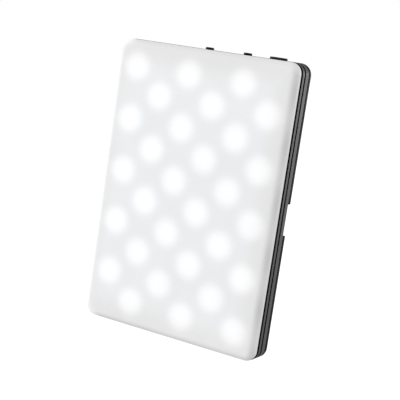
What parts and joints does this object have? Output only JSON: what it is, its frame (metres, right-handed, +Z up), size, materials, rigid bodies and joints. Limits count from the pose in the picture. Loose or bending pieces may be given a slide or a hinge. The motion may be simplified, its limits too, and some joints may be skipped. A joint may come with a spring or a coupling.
{
  "type": "pocket LED light panel",
  "caption": "Slim rectangular LED light panel with a glowing opal front, layered dark sides, controls on the top edge and a clip channel across the back.",
  "frame": {"origin": "middle of the panel's outline on the surface that its lower edge stands on", "axes": "+X to the panel's right as seen from the front, -Y out of the lit front, +Z up to the edge with the controls"},
  "size_m": [0.067, 0.0104, 0.0978],
  "materials": {
    "opal_diffuser": "satin opal, lit from behind",
    "white_film": "matt white",
    "white_board": "white solder mask",
    "grey_pad": "matt",
    "graphite_shell": "dark grey satin",
    "black_shell": "black, finely textured",
    "black_control": "black satin",
    "screw_steel": "blackened steel",
    "switch_metal": "plated",
    "chip_black": "moulded",
    "green_board": "solder mask",
    "white_connector": "moulded",
    "clear_plastic": "clear",
    "battery_foil": "laminated foil pouch",
    "lead_black": "insulated wire",
    "lead_red": "insulated wire"
  },
  "bodies": {
    "panel": {"diffuser_panel": "opal_diffuser", "diffusion_film": "white_film", "reflector_sheet": "white_film", "led_board": "white_board", "thermal_adhesive_sheet": "grey_pad", "front_frame": "graphite_shell", "housing": "graphite_shell", "rear_cover": "black_shell", "cover_screw_bottom_left": "screw_steel", "cover_screw_bottom_right": "screw_steel", "cover_screw_top_left": "screw_steel", "cover_screw_top_right": "screw_steel", "rocker_pivot_pin": "screw_steel", "power_switch": "switch_metal", "mode_switch": "switch_metal", "dim_switch": "switch_metal", "brighten_switch": "switch_metal", "usb_c_receptacle": "switch_metal", "usb_c_tongue": "chip_black", "control_board": "green_board", "power_inductor": "chip_black", "microcontroller_chip": "chip_black", "charger_chip": "chip_black", "led_driver_chip": "chip_black", "battery_connector": "white_connector", "board_link_header": "chip_black", "charge_indicator_led": "clear_plastic", "charge_indicator_window": "clear_plastic", "battery_cell": "battery_foil", "battery_adhesive_pad": "grey_pad", "battery_protection_board": "green_board", "battery_lead_negative": "lead_black", "battery_lead_positive": "lead_red"},
    "power_key": {"power_button": "black_control", "power_switch_plunger": "chip_black"},
    "mode_key": {"mode_button": "black_control", "mode_switch_plunger": "chip_black"},
    "brightness_key": {"brightness_rocker": "black_control"}
  },
  "joints": [
    {"name": "power_press", "type": "slide", "parent": "panel", "child": "power_key", "axis": [0, 0, -1], "range_m": [0, 0.00025], "stiffness_N_per_m": 3000},
    {"name": "mode_press", "type": "slide", "parent": "panel", "child": "mode_key", "axis": [0, 0, -1], "range_m": [0, 0.00025], "stiffness_N_per_m": 3000},
    {"name": "brightness_rock", "type": "hinge", "parent": "panel", "child": "brightness_key", "pos_m": [0.0234, 0.00015, 0.09565], "axis": [0, 1, 0], "range_deg": [-3.5, 3.5], "stiffness_Nm_per_rad": 0.03}
  ]
}
